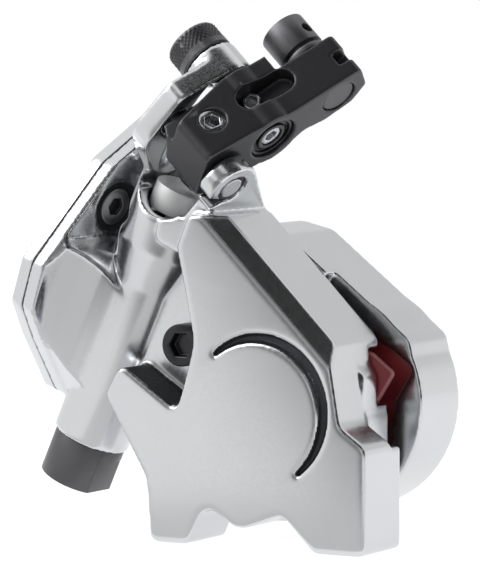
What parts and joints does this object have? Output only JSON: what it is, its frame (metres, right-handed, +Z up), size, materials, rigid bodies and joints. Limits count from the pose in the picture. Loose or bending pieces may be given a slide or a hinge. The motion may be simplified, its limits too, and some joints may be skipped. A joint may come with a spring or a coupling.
{
  "type": "bicycle disc brake caliper",
  "caption": "Flat-mount bicycle disc brake caliper: a cable-pulled arm drives a master cylinder on the body, which presses opposed pistons and pads onto the rotor.",
  "frame": {"origin": "midway between the two mounting holes, on the mounting face", "axes": "+X along the line of the mounting holes, +Y along the rotor axis towards the inboard half, +Z up from the mounting face"},
  "size_m": [0.0721, 0.0412, 0.0924],
  "materials": {
    "cast": "satin polished",
    "black_steel": "black oxide",
    "rubber": "matte",
    "resin": "moulded phenolic",
    "pad_paint": "maroon paint",
    "friction": "pressed friction compound",
    "spring_steel": "drawn wire",
    "steel": "zinc plated",
    "brass": "turned",
    "dark_anodised": "black anodised"
  },
  "bodies": {
    "caliper": {"outboard_body": "cast", "inboard_body": "cast", "body_bolts": "black_steel", "crossover_seal": "rubber", "reservoir_cover": "cast", "reservoir_diaphragm": "rubber", "reservoir_bolt": "black_steel", "cover_screws": "black_steel", "outboard_piston_seal": "rubber", "inboard_piston_seal": "rubber", "pad_spring": "spring_steel", "pad_pin": "steel", "pad_pin_clip": "black_steel", "piston_circlip": "black_steel", "cylinder_end_cap": "dark_anodised", "cap_o_ring": "rubber", "pivot_bushes": "black_steel", "master_return_spring": "spring_steel", "arm_return_spring": "spring_steel"},
    "arm": {"actuating_arm": "dark_anodised", "stroke_set_screw": "steel", "travel_screw": "steel", "lock_bush": "black_steel", "lock_bush_screw": "steel", "arm_pivot_pins": "steel"},
    "anchor": {"cable_anchor": "black_steel", "anchor_head": "dark_anodised", "pinch_screw": "steel"},
    "lock": {"lock_screw": "steel"},
    "knob": {"lock_knob": "dark_anodised"},
    "master": {"master_piston": "brass", "primary_cup": "rubber", "secondary_cup": "rubber", "push_rod": "steel"},
    "outboard_pad": {"outboard_piston": "resin", "outboard_pad_plate": "pad_paint", "outboard_pad_lining": "friction"},
    "inboard_pad": {"inboard_piston": "resin", "inboard_pad_plate": "pad_paint", "inboard_pad_lining": "friction"}
  },
  "joints": [
    {"name": "arm_pivot", "type": "hinge", "parent": "caliper", "child": "arm", "pos_m": [-0.006, -0.003, 0.0619], "axis": [-0.7302, 0.1104, 0.6743], "range_deg": [0, 25.1], "stiffness_Nm_per_rad": 0.02, "springref_deg": -34.38, "deforming": ["arm_return_spring"]},
    {"name": "anchor_swivel", "type": "hinge", "parent": "arm", "child": "anchor", "pos_m": [-0.00413, 0.01543, 0.08686], "axis": [0.7302, -0.1104, -0.6743], "range_deg": [-30, 30]},
    {"name": "lock_travel", "type": "slide", "parent": "caliper", "child": "lock", "axis": [-0.7302, 0.1104, 0.6743], "range_m": [0, 0.003]},
    {"name": "knob_turn", "type": "hinge", "parent": "lock", "child": "knob", "pos_m": [-0.01657, 0.00697, 0.08368], "axis": [-0.7302, 0.1104, 0.6743], "range_deg": [0, 1360]},
    {"name": "master_travel", "type": "slide", "parent": "caliper", "child": "master", "axis": [-0.4067, 0, -0.9135], "range_m": [0, 0.002], "stiffness_N_per_m": 400, "springref_m": -0.012, "deforming": ["master_return_spring"]},
    {"name": "outboard_pad_travel", "type": "slide", "parent": "caliper", "child": "outboard_pad", "axis": [0, 1, 0], "range_m": [0, 0.00022]},
    {"name": "inboard_pad_travel", "type": "slide", "parent": "caliper", "child": "inboard_pad", "axis": [0, -1, 0], "range_m": [0, 0.00022]}
  ],
  "couplings": [
    {"joint": "arm_pivot", "follows": "master_travel", "rad_per_m": 218.17},
    {"joint": "outboard_pad_travel", "follows": "master_travel", "ratio": 0.10331},
    {"joint": "inboard_pad_travel", "follows": "master_travel", "ratio": 0.10331},
    {"joint": "knob_turn", "follows": "lock_travel", "rad_per_m": 7854}
  ]
}
